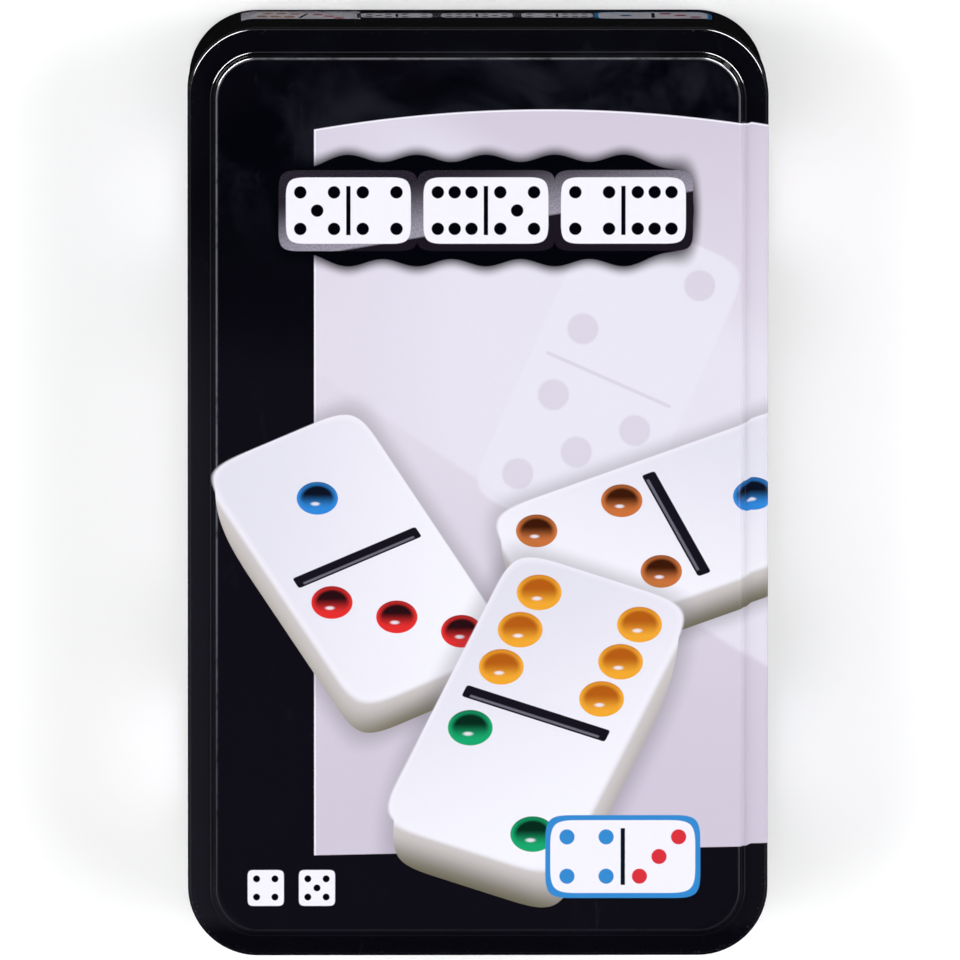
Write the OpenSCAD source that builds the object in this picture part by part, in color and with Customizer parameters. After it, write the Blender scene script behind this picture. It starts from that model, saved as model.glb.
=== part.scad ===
// Tin box for a double-six set of dominoes.
// A drawn lid with a raised panel slides over the neck of a folded body.
// Inside are a vacuum-formed tray, two layers of tiles and a folded rules leaflet.
// Millimetres, +Z up, +Y along the box, origin at the middle of the underside.

/* [Box] */
// Outside width, across the short side
box_w = 120; // [119:0.5:130]
// Outside length
box_l = 193.4; // [190:0.2:210]
// Outside radius of the upright corners
corner_r = 14.5; // [13.5:0.5:17]
// Height of the lid's flat border above the table
border_z = 38; // [37:0.5:45]
// Thickness of the tinplate
sheet_t = 0.3; // [0.25:0.05:0.4]

/* [Lid] */
// Height of the lid's skirt, from its rim to the border
skirt_h = 17; // [14:0.5:19]
// Outside radius of the edge between skirt and border
lid_edge_r = 0.8; // [0.6:0.1:2.5]
// Width of the border, from the outside of the lid to the foot of the step
border_w = 4.6; // [4:0.2:6]
// Height of the raised panel above the border
emboss_h = 1.5; // [1.2:0.1:2]
// Radius of the inward curl round the lid's rim
lid_curl_r = 0.8; // [0.7:0.05:0.9]

/* [Body] */
// How far the lower wall stands in from the outside of the lid
wall_inset = 0.4; // [0.2:0.1:0.6]
// Gap between the lid's curl and the neck
neck_gap = 0.25; // [0.2:0.05:0.4]
// Radius of the inward curl round the neck's rim
neck_curl_r = 0.7; // [0.6:0.05:0.8]
// Half the width of the turned-in foot that the box stands on
foot_r = 1; // [0.9:0.05:1.2]
// Width of the overlap in the wall's side seam
lap_w = 6; // [4:0.5:8]

/* [Tiles] */
// Length of a tile
tile_l = 50; // [48:0.5:50]
// Width of a tile
tile_w = 25; // [24:0.25:25]
// Thickness of a tile
tile_t = 12; // [9:0.5:12]
// Radius of a tile's upright corners
tile_corner_r = 3; // [2:0.25:4]
// Radius of a tile's top and bottom edges
tile_edge_r = 1.3; // [0.8:0.1:2]
// Diameter of a pip where it meets the face
pip_d = 5.4; // [4:0.1:5.6]
// Depth of a pip
pip_depth = 0.9; // [0.5:0.1:1.2]
// Distance from the middle of a half to its outer pips, along the tile
pip_x = 6.8; // [6:0.1:7]
// Distance from the middle of a half to its outer pips, across the tile
pip_y = 7.2; // [6.5:0.1:7.5]
// Width of the bar between the halves
bar_w = 1.8; // [1.2:0.1:2]
// Length of the bar between the halves
bar_l = 20; // [16:0.5:21]
// Depth of the bar between the halves
bar_depth = 0.6; // [0.3:0.1:1]

/* [Tray] */
// Thickness of the tray's plastic
tray_t = 0.6; // [0.5:0.05:0.7]
// Gap round the tray inside the neck's rim
tray_gap = 0.3; // [0.2:0.05:0.5]
// Free room between neighbouring tiles
tile_gap = 0.2; // [0.15:0.05:0.25]
// Width of the rib between the two wells
rib_w = 6; // [5:0.25:6.5]
// How far the upper tiles stand above the tray's rim
tile_proud = 4; // [2:0.5:6]
// Radius of the finger scoops through the rib
scoop_r = 11; // [9:0.5:12]

/* [Leaflet] */
// Width of the folded rules leaflet
leaf_w = 95; // [80:1:100]
// Length of the folded rules leaflet
leaf_l = 140; // [120:1:160]
// Thickness of one leaf
leaf_t = 0.3; // [0.2:0.05:0.5]

/* [Hidden] */
tile_names = [for (a = [0:6]) for (b = [a:6]) str("tile_", a, "_", b)];
$fn = 64;

rim_z = border_z - skirt_h;                 // lowest point of the lid
wall_r = corner_r - wall_inset;             // corner radius outside the lower wall
neck_r = corner_r - 2 * lid_curl_r - neck_gap; // corner radius outside the neck
shoulder_s = (wall_r - neck_r) / 2;         // each of the shoulder's two quarter bends
shoulder_z = rim_z + 0.5 - 2 * shoulder_s;  // where the shoulder leaves the lower wall
neck_top_z = border_z - sheet_t - 0.1;      // top of the neck's rim, just under the lid
foot_b = 0.7 * foot_r;                      // each of the foot's two bends
panel_z = foot_r + 0.15;                    // underside of the bottom panel
floor_z = panel_z + sheet_t;                // inside floor of the box

tile_top_z = border_z - 1.5;                // top of the upper tiles
layer_gap = 0.1;                            // between tiles, and between tiles and tray
well_z = tile_top_z - 2 * tile_t - 2 * layer_gap; // floor of the wells
tray_top_z = tile_top_z - tile_proud;
tray_bottom_z = floor_z + 0.1;
tray_w = box_w - 2 * (corner_r - neck_r + 2 * neck_curl_r + tray_gap);
tray_l = box_l - 2 * (corner_r - neck_r + 2 * neck_curl_r + tray_gap);
tray_r = neck_r - 2 * neck_curl_r - tray_gap;
tile_pitch = tile_w + tile_gap;
well_w = tile_l + 0.8;
well_l = 7 * tile_pitch + 0.2;
well_x = (rib_w + well_w) / 2;              // middle of a well
leaf_z = floor_z + 0.1;

// ---------- shared shapes ----------

// A rectangle with round corners
module rrect(w, l, r) {
    square([w - 2 * r, l], center = true);
    square([w, l - 2 * r], center = true);
    for (x = [-1, 1], y = [-1, 1])
        translate([x * (w / 2 - r), y * (l / 2 - r)]) circle(r);
}

// Runs a section round the box. In the section, x is the distance outward from the
// line through the corners' centres and y is the height.
module round_box() {
    cx = box_w / 2 - corner_r;
    cy = box_l / 2 - corner_r;
    translate([cx, cy, 0]) rotate_extrude(angle = 90) children();
    translate([-cx, cy, 0]) rotate([0, 0, 90]) rotate_extrude(angle = 90) children();
    translate([-cx, -cy, 0]) rotate([0, 0, 180]) rotate_extrude(angle = 90) children();
    translate([cx, -cy, 0]) rotate([0, 0, 270]) rotate_extrude(angle = 90) children();
    for (a = [0, 180])
        rotate([0, 0, a]) translate([cx, 0, 0]) rotate([90, 0, 0])
            linear_extrude(2 * cy, center = true) children();
    for (a = [90, 270])
        rotate([0, 0, a]) translate([cy, 0, 0]) rotate([90, 0, 0])
            linear_extrude(2 * cx, center = true) children();
}

// A flat plate between the corners' centres
module middle(z, t) {
    translate([-(box_w / 2 - corner_r), -(box_l / 2 - corner_r), z])
        cube([box_w - 2 * corner_r, box_l - 2 * corner_r, t]);
}

// ---------- lid ----------

// Everything under the lid's skin, with the skin's outside moved in by d
module under_lid(d) {
    low = rim_z + lid_curl_r - (d > 0 ? 3 : 0);
    e = emboss_h / 2;
    sx = corner_r - border_w;
    translate([0, low]) square([corner_r - lid_edge_r, border_z - d - low]);
    translate([0, low]) square([corner_r - d, border_z - lid_edge_r - low]);
    translate([corner_r - lid_edge_r, border_z - lid_edge_r]) circle(lid_edge_r - d);
    // raised panel, with a quarter bend at the foot of the step and one at its top
    translate([0, low]) square([sx - 2 * e, border_z + emboss_h - d - low]);
    translate([sx - 2 * e, border_z + e]) circle(e - d);
    difference() {
        translate([sx - 2 * e, border_z - d - 0.5]) square([2 * e, e + d + 0.5]);
        translate([sx, border_z + e]) circle(e + d);
    }
}

module lid_section() {
    difference() {
        under_lid(0);
        under_lid(sheet_t);
    }
    // the rim turns in on itself, three quarters of a turn
    translate([corner_r - lid_curl_r, rim_z + lid_curl_r]) difference() {
        circle(lid_curl_r);
        circle(lid_curl_r - sheet_t);
        square(2 * lid_curl_r);
    }
}

module lid() {
    color([0.04, 0.035, 0.05]) {
        round_box() lid_section();
        middle(border_z + emboss_h - sheet_t, sheet_t);
    }
}

// ---------- body ----------

// Everything inside the wall's skin, with the skin's outside moved in by d
module under_wall(d) {
    low = foot_b;
    top = neck_top_z - neck_curl_r;
    s = shoulder_s;
    translate([0, low - (d > 0 ? 1 : 0)])
        square([wall_r - d, shoulder_z - low + (d > 0 ? 1 : 0)]);
    translate([wall_r - s, shoulder_z]) circle(s - d);
    translate([0, shoulder_z - 1]) square([wall_r - s, s + 1 - d]);
    difference() {
        translate([0, shoulder_z]) square([neck_r + s, 2 * s]);
        translate([neck_r + s, shoulder_z + 2 * s]) circle(s + d);
    }
    translate([0, shoulder_z + 2 * s])
        square([neck_r - d, top - shoulder_z - 2 * s + (d > 0 ? 1 : 0)]);
}

module wall_section() {
    difference() {
        under_wall(0);
        under_wall(sheet_t);
    }
    // rim of the neck, turned in three quarters of a turn
    translate([neck_r - neck_curl_r, neck_top_z - neck_curl_r]) difference() {
        circle(neck_curl_r);
        circle(neck_curl_r - sheet_t);
        translate([0, -2 * neck_curl_r]) square(2 * neck_curl_r);
    }
    // foot, turned in and up again, with a narrow flat to stand on
    difference() {
        foot_round(0);
        foot_round(sheet_t);
        translate([0, foot_b]) square([corner_r, 2 * foot_r]);
    }
    translate([wall_r - 2 * foot_r, foot_b]) square([sheet_t, foot_r - foot_b]);
}

module foot_round(d) {
    for (x = [wall_r - foot_b, wall_r - 2 * foot_r + foot_b])
        translate([x, foot_b]) circle(foot_b - d);
    translate([wall_r - 2 * foot_r + foot_b, d]) square([2 * foot_r - 2 * foot_b, 2 * foot_b - 2 * d]);
}

module body_wall() {
    color([0.06, 0.05, 0.07]) {
        round_box() wall_section();
        // side seam: the end of the strip lies inside the other end
        translate([-lap_w / 2, -(box_l / 2 - wall_inset - sheet_t) - 0.05, foot_r + 1.2])
            cube([lap_w, sheet_t + 0.05, shoulder_z - foot_r - 2]);
    }
}

// The bottom is a plate whose edge hooks down behind the turned-in foot
module bottom_section() {
    hook_r = wall_r - 2 * foot_r + sheet_t + 0.35;
    translate([0, panel_z]) square([hook_r + sheet_t, sheet_t]);
    translate([hook_r, foot_r - 0.45]) square([sheet_t, panel_z - foot_r + 0.45 + sheet_t]);
}

module bottom_panel() {
    color([0.55, 0.55, 0.57]) {
        round_box() bottom_section();
        middle(panel_z, sheet_t);
    }
}

// ---------- tray ----------

// The space that the tray's upper surface encloses, shrunk by k
module tray_form(k) {
    difference() {
        translate([0, 0, tray_bottom_z - (k > 0 ? 1 : 0)])
            linear_extrude(tray_top_z - tray_bottom_z - k + (k > 0 ? 1 : 0))
                rrect(tray_w - 2 * k, tray_l - 2 * k, tray_r - k);
        for (s = [-1, 1])
            translate([s * well_x, 0, well_z - k])
                linear_extrude(tray_top_z)
                    rrect(well_w + 2 * k, well_l + 2 * k, 2.5 + k);
        for (y = [-2 * tile_pitch, 0, 2 * tile_pitch])
            translate([0, y, tray_top_z]) rotate([0, 90, 0])
                cylinder(r = scoop_r + k, h = rib_w + 2, center = true);
    }
}

module tray() {
    color([0.08, 0.08, 0.09]) difference() {
        tray_form(0);
        tray_form(tray_t);
    }
}

// ---------- leaflet ----------

// One sheet folded in half: two leaves joined along the left edge
module rules_leaflet() {
    color([0.93, 0.92, 0.9]) {
        r = 1.5 * leaf_t;
        translate([-leaf_w / 2 + r, 0, leaf_z + r]) rotate([90, 0, 0])
            linear_extrude(leaf_l, center = true) {
                difference() {
                    circle(r);
                    circle(r - leaf_t);
                    translate([0, -2 * r]) square(4 * r);
                }
                translate([0, -r]) square([leaf_w - r, leaf_t]);
                translate([0, r - leaf_t]) square([leaf_w - r, leaf_t]);
            }
    }
}

// ---------- tiles ----------

// Where the pips of a half lie: x along the tile and y across it, in steps
function pips(n) =
    n == 1 ? [[0, 0]] :
    n == 2 ? [[-1, -1], [1, 1]] :
    n == 3 ? [[-1, -1], [0, 0], [1, 1]] :
    n == 4 ? [[-1, -1], [1, -1], [-1, 1], [1, 1]] :
    n == 5 ? [[-1, -1], [1, -1], [0, 0], [-1, 1], [1, 1]] :
    n == 6 ? [[-1, -1], [0, -1], [1, -1], [-1, 1], [0, 1], [1, 1]] : [];

// A tile standing on z = 0, with a at its left end and b at its right end
module domino(a, b) {
    rs = (pow(pip_d / 2, 2) + pow(pip_depth, 2)) / (2 * pip_depth);
    difference() {
        intersection() {
            linear_extrude(tile_t) rrect(tile_l, tile_w, tile_corner_r);
            translate([0, 0, tile_t / 2]) rotate([90, 0, 0])
                linear_extrude(tile_w + 2, center = true) rrect(tile_l, tile_t, tile_edge_r);
            translate([0, 0, tile_t / 2]) rotate([90, 0, 90])
                linear_extrude(tile_l + 2, center = true) rrect(tile_w, tile_t, tile_edge_r);
        }
        for (h = [[-1, a], [1, b]])
            for (p = pips(h[1]))
                translate([h[0] * tile_l / 4 + p[0] * pip_x, p[1] * pip_y, tile_t + rs - pip_depth])
                    sphere(rs);
        // bar between the halves, with round ends
        translate([0, 0, tile_t - bar_depth]) linear_extrude(bar_depth + 1) {
            square([bar_w, bar_l - bar_w], center = true);
            for (s = [-1, 1]) translate([0, s * (bar_l - bar_w) / 2]) circle(bar_w / 2);
        }
    }
}

// Tiles are numbered in order from 0-0 to 6-6 and put away mixed: step 11 through the
// 28 places reaches each place once. Places 0 to 13 are the lower layer.
function number(a, b) = a * 7 - a * (a - 1) / 2 + (b - a);
function place(a, b) = (number(a, b) * 11 + 8) % 28;

module tile(a, b) {
    p = place(a, b);
    q = p % 14;
    x = (q % 2 == 0 ? -1 : 1) * well_x;
    y = (floor(q / 2) - 3) * tile_pitch;
    z = well_z + layer_gap + (p < 14 ? 0 : tile_t + layer_gap);
    color([0.92, 0.92, 0.94])
        translate([x, y, z]) rotate([0, 0, floor(number(a, b) / 2) % 2 * 180]) domino(a, b);
}

body_wall();
bottom_panel();
lid();
tray();
rules_leaflet();
for (a = [0:6]) for (b = [a:6])
    tile(a, b);
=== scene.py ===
import math

import bpy
import numpy as np
from mathutils import Matrix, Vector
from mathutils.geometry import delaunay_2d_cdt


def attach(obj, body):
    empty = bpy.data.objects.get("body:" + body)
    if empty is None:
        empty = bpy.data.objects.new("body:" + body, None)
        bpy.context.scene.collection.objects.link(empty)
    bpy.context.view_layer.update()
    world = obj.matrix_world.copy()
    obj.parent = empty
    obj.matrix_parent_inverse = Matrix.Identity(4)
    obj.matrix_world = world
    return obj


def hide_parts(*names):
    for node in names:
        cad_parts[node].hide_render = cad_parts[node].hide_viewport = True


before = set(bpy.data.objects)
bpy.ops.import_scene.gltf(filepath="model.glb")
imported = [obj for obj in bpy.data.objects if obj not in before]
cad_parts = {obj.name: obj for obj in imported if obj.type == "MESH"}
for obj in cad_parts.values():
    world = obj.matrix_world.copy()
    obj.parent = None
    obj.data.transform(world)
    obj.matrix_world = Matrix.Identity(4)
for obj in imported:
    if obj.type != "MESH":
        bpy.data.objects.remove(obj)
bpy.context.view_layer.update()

MM = 0.001


def srgb(code):
    """A hex colour as linear RGBA."""
    out = []
    for i in (0, 2, 4):
        c = int(code[i : i + 2], 16) / 255
        out.append(c / 12.92 if c <= 0.04045 else ((c + 0.055) / 1.055) ** 2.4)
    return (*out, 1.0)


def scaled(colour, k):
    return (*[min(1.0, c * k) for c in colour[:3]], 1.0)


# ---------------------------------------------------------------- node graphs


class V:
    """One number or colour in a node graph. Arithmetic on it adds nodes."""

    def __init__(self, g, socket):
        self.g, self.socket = g, socket

    def __add__(self, o):
        return self.g.math("ADD", self, o)

    __radd__ = __add__

    def __sub__(self, o):
        return self.g.math("SUBTRACT", self, o)

    def __rsub__(self, o):
        return self.g.math("SUBTRACT", o, self)

    def __mul__(self, o):
        return self.g.math("MULTIPLY", self, o)

    __rmul__ = __mul__

    def __truediv__(self, o):
        return self.g.math("DIVIDE", self, o)

    def __abs__(self):
        return self.g.math("ABSOLUTE", self)

    def __neg__(self):
        return self.g.math("MULTIPLY", self, -1.0)


class Graph:
    """A Principled material and short names for the nodes that feed it."""

    def __init__(self, name):
        self.mat = bpy.data.materials.new(name)
        self.mat.use_nodes = True
        self.tree = self.mat.node_tree
        self.tree.nodes.clear()
        out = self.tree.nodes.new("ShaderNodeOutputMaterial")
        self.bsdf = self.tree.nodes.new("ShaderNodeBsdfPrincipled")
        self.tree.links.new(self.bsdf.outputs[0], out.inputs[0])

    def put(self, socket, value):
        if isinstance(value, V):
            self.tree.links.new(value.socket, socket)
        else:
            socket.default_value = value

    def node(self, kind, **settings):
        n = self.tree.nodes.new(kind)
        for k, v in settings.items():
            setattr(n, k, v)
        return n

    def set(self, **values):
        """Principled inputs by name, with _ for a space."""
        for k, v in values.items():
            self.put(self.bsdf.inputs[k.replace("_", " ")], v)
        return self.mat

    def math(self, op, *args, clamp=False):
        n = self.node("ShaderNodeMath", operation=op, use_clamp=clamp)
        for s, a in zip(n.inputs, args):
            self.put(s, a)
        return V(self, n.outputs[0])

    def lin(self, a, x, b, y, c=0.0):
        """a*x + b*y + c"""
        return self.math("MULTIPLY_ADD", x, a, self.math("MULTIPLY_ADD", y, b, c))

    def clamp(self, x, lo, hi):
        return self.math("MINIMUM", self.math("MAXIMUM", x, lo), hi)

    def length(self, x, y):
        c = self.node("ShaderNodeCombineXYZ")
        self.put(c.inputs[0], x)
        self.put(c.inputs[1], y)
        n = self.node("ShaderNodeVectorMath", operation="LENGTH")
        self.tree.links.new(c.outputs[0], n.inputs[0])
        return V(self, n.outputs["Value"])

    def step(self, x, a, b):
        """0 where x is at a, 1 where it is at b, smooth in between."""
        n = self.node("ShaderNodeMapRange", interpolation_type="SMOOTHSTEP")
        self.put(n.inputs[0], x)
        n.inputs[1].default_value, n.inputs[2].default_value = a, b
        return V(self, n.outputs[0])

    def inside(self, d, soft=0.06):
        """1 inside a shape whose edge is at d = 0, with an edge 2 * soft wide."""
        return self.math("MULTIPLY_ADD", d, -0.5 / soft, 0.5, clamp=True)

    def box(self, x, y, hx, hy, r):
        """Distance to a rectangle with round corners."""
        return self.math("SMOOTH_MAX", abs(x) - hx, abs(y) - hy, 2.49 * r)

    def mix(self, fac, a, b):
        n = self.node("ShaderNodeMix", data_type="RGBA")
        self.put(n.inputs["Factor"], fac)
        self.put(n.inputs[6], a)
        self.put(n.inputs[7], b)
        return V(self, n.outputs[2])

    def lighten(self, fac, a, b):
        """The lighter of a and b, by fac."""
        out = self.mix(fac, a, b)
        out.socket.node.blend_type = "LIGHTEN"
        return out

    def darken(self, fac, a, b):
        """The darker of a and b, by fac."""
        out = self.mix(fac, a, b)
        out.socket.node.blend_type = "DARKEN"
        return out

    def coords(self):
        """Row-frame coordinates in millimetres, as a vector."""
        t = self.node("ShaderNodeTexCoord")
        n = self.node("ShaderNodeVectorMath", operation="SCALE")
        self.tree.links.new(t.outputs["Object"], n.inputs[0])
        n.inputs["Scale"].default_value = 1 / MM
        return V(self, n.outputs[0])

    def uv(self, name):
        n = self.node("ShaderNodeUVMap", uv_map=name)
        return V(self, n.outputs[0])

    def split(self, v):
        n = self.node("ShaderNodeSeparateXYZ")
        self.put(n.inputs[0], v)
        return tuple(V(self, o) for o in n.outputs)

    def scale(self, v, s):
        """The vector v with its parts multiplied by s."""
        n = self.node("ShaderNodeVectorMath", operation="MULTIPLY")
        self.put(n.inputs[0], v)
        n.inputs[1].default_value = s
        return V(self, n.outputs[0])

    def noise(self, v, scale, detail=2.0, rough=0.5, distortion=0.0):
        n = self.node("ShaderNodeTexNoise")
        self.put(n.inputs["Vector"], v)
        n.inputs["Scale"].default_value = scale
        n.inputs["Detail"].default_value = detail
        n.inputs["Roughness"].default_value = rough
        n.inputs["Distortion"].default_value = distortion
        return V(self, n.outputs["Fac"])

    def cells(self, v, scale, feature="F1", output="Distance"):
        n = self.node("ShaderNodeTexVoronoi", feature=feature)
        self.put(n.inputs["Vector"], v)
        n.inputs["Scale"].default_value = scale
        return V(self, n.outputs[output])

    def bump(self, height, strength, distance_mm, normal=None):
        n = self.node("ShaderNodeBump")
        n.inputs["Strength"].default_value = strength
        n.inputs["Distance"].default_value = distance_mm * MM
        self.put(n.inputs["Height"], height)
        if normal is not None:
            self.put(n.inputs["Normal"], normal)
        return V(self, n.outputs[0])


# ---------------------------------------------------------------- swept meshes


def box_ring(cx, cy, per_corner=24, long_step=12.0):
    """Points round a rectangle with round corners, as (centre x, centre y, outward x, outward y).
    A point at distance r from the corners' centre line is centre + r * outward."""
    ring = []
    for k, (sx, sy) in enumerate(((1, 1), (-1, 1), (-1, -1), (1, -1))):
        for i in range(per_corner + 1):
            a = math.pi / 2 * (k + i / per_corner)
            ring.append((sx * cx, sy * cy, math.cos(a), math.sin(a)))
        nx, ny = ((-1, 1), (-1, -1), (1, -1), (1, 1))[k]
        a = math.pi / 2 * (k + 1)
        span = abs(nx * cx - sx * cx) + abs(ny * cy - sy * cy)
        parts = max(1, round(span / long_step))
        for i in range(1, parts):
            f = i / parts
            ring.append(
                (sx * cx + f * (nx - sx) * cx, sy * cy + f * (ny - sy) * cy, math.cos(a), math.sin(a))
            )
    return np.array(ring)


def arc(cx, cz, r, start, end, parts, inward=False):
    """Profile points (rho, z, normal rho, normal z) along an arc. Angles in degrees. inward turns the normal to the arc's centre."""
    s = -1 if inward else 1
    out = []
    for i in range(parts + 1):
        a = math.radians(start + (end - start) * i / parts)
        c, z = math.cos(a), math.sin(a)
        out.append((cx + r * c, cz + r * z, s * c, s * z))
    return out


def tidy(profile):
    """The profile without points that repeat the one before."""
    out = [profile[0]]
    for p in profile[1:]:
        if math.hypot(p[0] - out[-1][0], p[1] - out[-1][1]) > 1e-6:
            out.append(p)
    return out


class Mesh:
    """Vertices in millimetres, faces with a material number, and normals for each vertex."""

    def __init__(self):
        self.v, self.n, self.f, self.m, self.uv = [], [], [], [], []

    def add(self, points, normals):
        start = len(self.v)
        self.v.extend(map(tuple, points))
        self.n.extend(map(tuple, normals))
        return start

    def face(self, corners, material=0, uv=None):
        self.f.append(tuple(int(c) for c in corners))
        self.m.append(material)
        self.uv.append(uv)

    def sweep(self, ring, profile, material=None, uv=None, shift=None):
        """Runs a profile round a ring. material(j, i) and uv(j, i) give a face's material number and a corner's UV, for profile point j and ring point i. Returns the first and last row of vertices."""
        n, rows = len(ring), []
        for j, (rho, z, nr, nz) in enumerate(profile):
            ox, oy = shift(j) if shift else (0.0, 0.0)
            p = np.stack([ring[:, 0] + rho * ring[:, 2] + ox, ring[:, 1] + rho * ring[:, 3] + oy, np.full(n, z)], 1)
            q = np.stack([nr * ring[:, 2], nr * ring[:, 3], np.full(n, nz)], 1)
            rows.append(self.add(p, q))
        for j in range(len(profile) - 1):
            for i in range(n):
                k = (i + 1) % n
                uvs = None
                if uv:
                    uvs = [uv(j, i, 0), uv(j, i, 1), uv(j + 1, i, 1), uv(j + 1, i, 0)]
                self.face(
                    (rows[j] + i, rows[j] + k, rows[j + 1] + k, rows[j + 1] + i),
                    material(j, i) if material else 0,
                    uvs,
                )
        return rows

    def build(self, name, materials, body, node=None, layers=()):
        """The finished object, riding on its body. layers names the UV maps, and each face's uv holds one list of corners per layer."""
        me = bpy.data.meshes.new(name)
        at, facing = np.array(self.v, float), np.array(self.n, float)
        faces, corners = [], []
        for f, uv in zip(self.f, self.uv):  # each face looks the way its normals do
            p = at[list(f)]
            if np.cross(p, np.roll(p, -1, 0)).sum(0) @ facing[list(f)].sum(0) < 0:
                f, uv = f[::-1], uv[::-1] if uv else uv
            faces.append(f)
            corners.append(uv)
        me.from_pydata([tuple(c * MM for c in p) for p in self.v], [], faces)
        me.polygons.foreach_set("material_index", self.m)
        me.polygons.foreach_set("use_smooth", [True] * len(self.f))
        for m in materials:
            me.materials.append(m)
        for k, layer in enumerate(layers):
            data = me.uv_layers.new(name=layer, do_init=False)
            flat = [c for face in corners for corner in face for c in corner[k]]
            data.uv.foreach_set("vector", np.array(flat, np.float32))
        me.update()
        me.normals_split_custom_set_from_vertices(
            [tuple(Vector(x).normalized()) if any(x) else (0, 0, 1) for x in self.n]
        )
        ob = bpy.data.objects.new(name, me)
        bpy.context.scene.collection.objects.link(ob)
        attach(ob, body)
        if node:
            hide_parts(node)
        return ob


# ---------------------------------------------------------------- print motifs

INK = srgb("030409")
INK_WARM = srgb("08070e")
INK_HAZE = srgb("1f1f29")
PALE = srgb("dcd5e4")
PALE_LIGHT = srgb("e7e4f1")
PALE_DARK = srgb("cfc7d8")
WHITE_INK = srgb("f2f0fa")
FACE = srgb("f3f2fb")
FACE_SHADE = srgb("e0deeb")
SIDE_LIGHT = srgb("cdc7c8")
SIDE_DARK = srgb("6d6959")
PIP_INK = {
    1: (srgb("2f86d8"), srgb("0b1222")),
    2: (srgb("17a56c"), srgb("062a1c")),
    3: (srgb("e22e2e"), srgb("260d12")),
    4: (srgb("c9703a"), srgb("3b1708")),
    5: (srgb("7a4bd0"), srgb("160c2c")),
    6: (srgb("f0a730"), srgb("b25a12")),
}


def pip_places(g, n, u, v, pu, pv):
    """Coordinates from the nearest pip of a half with n pips, one pair for each set of pips."""
    if n == 1:
        return [(u, v)]
    if n in (2, 3):
        t = g.lin(pu / (pu * pu + pv * pv), u, pv / (pu * pu + pv * pv), v)
        k = g.math("SIGN", t) if n == 2 else g.clamp(g.math("ROUND", t), -1.0, 1.0)
        return [(g.math("MULTIPLY_ADD", k, -pu, u), g.math("MULTIPLY_ADD", k, -pv, v))]
    kv = g.math("SIGN", v)
    if n == 6:
        ku = g.clamp(g.math("ROUND", u / pu), -1.0, 1.0)
    else:
        ku = g.math("SIGN", u)
    four = (g.math("MULTIPLY_ADD", ku, -pu, u), g.math("MULTIPLY_ADD", kv, -pv, v))
    return [four, (u, v)] if n == 5 else [four]


def painted_pip(g, col, qx, qy, r, up, inks):
    """A printed picture of a glossy dimple, lit from the lower side of the print."""
    bright, dark = inks
    d = g.length(qx, qy)
    t = g.lin(up[0] / r, qx, up[1] / r, qy)
    shade = g.step(t, -0.72, 0.30) * g.step(d, 0.97 * r, 0.66 * r)
    c = g.mix(shade, bright, dark)
    rim = g.step(d, 0.80 * r, 0.97 * r) * g.step(t, 0.2, 0.9)
    c = g.mix(rim * 0.55, c, dark)
    side = (up[1], -up[0])
    glow = g.length(
        g.math("ADD", g.lin(side[0], qx, side[1], qy), 0.10 * r),
        g.math("MULTIPLY", g.math("ADD", t, 0.34), 1.9 * r),
    )
    c = g.mix(g.step(glow, 0.30 * r, 0.10 * r) * 0.85, c, scaled(WHITE_INK, 0.95))
    return g.mix(g.inside(d - r, 0.07), col, c)


def pictured_tile(g, col, x, y, at, angle, hl, hw, deep, values, squash=0.8, tone=None):
    """A printed picture of a thick tile lying on the sheet, its long side at angle, seen from in front and above. values are the pips at its lower and upper end."""
    a = math.radians(angle)
    c, s = math.cos(a), math.sin(a)
    # the ground plane is seen at a slant, so the print's y is shortened
    gx, gy = x - at[0], g.math("MULTIPLY_ADD", y, 1 / squash, -at[1] / squash)
    u = g.lin(c, gx, s, gy)
    v = g.lin(-s, gx, c, gy)
    up = (s, c)
    wu, wv = -up[0] * deep, -up[1] * deep  # from the top face down the side
    n = math.hypot(wu, wv)
    nu, nv = -wv / n, wu / n
    pu, pv = u - wu / 2, v - wv / 2
    r = 0.13 * hl
    slab = g.math(
        "SMOOTH_MAX",
        g.math("SMOOTH_MAX", abs(pu) - (hl + abs(wu) / 2), abs(pv) - (hw + abs(wv) / 2), 2.3 * r),
        abs(g.lin(nu, pu, nv, pv)) - (hl * abs(nu) + hw * abs(nv) - 0.55 * r),
        2.0 * r,
    )
    # soft shadow on the sheet
    col = g.darken(g.step(slab, 5.0, -1.0) * 0.45, col, scaled(PALE_DARK, 0.28))
    face = g.box(u, v, hl, hw, r)
    depth = g.step(face, 0.0, 0.95 * deep)
    tone_side = g.step(g.lin(0.5 / hl, u, 0.5 / hw, v), -0.6, 0.6)
    side = g.mix(depth, SIDE_LIGHT, g.mix(tone_side, SIDE_DARK, scaled(SIDE_DARK, 1.7)))
    side = g.mix(g.step(face, 1.2, 0.0), side, scaled(FACE, 0.93))
    col = g.mix(g.inside(slab, 0.07), col, side)
    lit = g.mix(g.step(g.lin(0.6 / hl, u, 0.4 / hw, v), -0.9, 0.9), FACE, tone or FACE_SHADE)
    lit = g.mix(g.step(face, -1.3, -0.1) * 0.5, lit, scaled(WHITE_INK, 1.0))
    # bar between the halves
    bar = g.box(u, v, 0.042 * hl, 0.80 * hw, 0.4)
    lit = g.mix(g.inside(bar, 0.07), lit, srgb("16131e"))
    gleam = g.box(g.math("ADD", u, 0.022 * hl), v, 0.008 * hl, 0.72 * hw, 0.2)
    lit = g.mix(g.inside(gleam, 0.12) * 0.55, lit, srgb("8d8a9c"))
    for half, value in zip((-1, 1), values):
        lu = u - half * hl / 2
        for qx, qy in pip_places(g, value, lu, v, 0.275 * hl, 0.56 * hw):
            lit = painted_pip(g, lit, qx, qy, 0.122 * hl, up, PIP_INK[value])
    return g.mix(g.inside(face, 0.25), col, lit)


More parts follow.
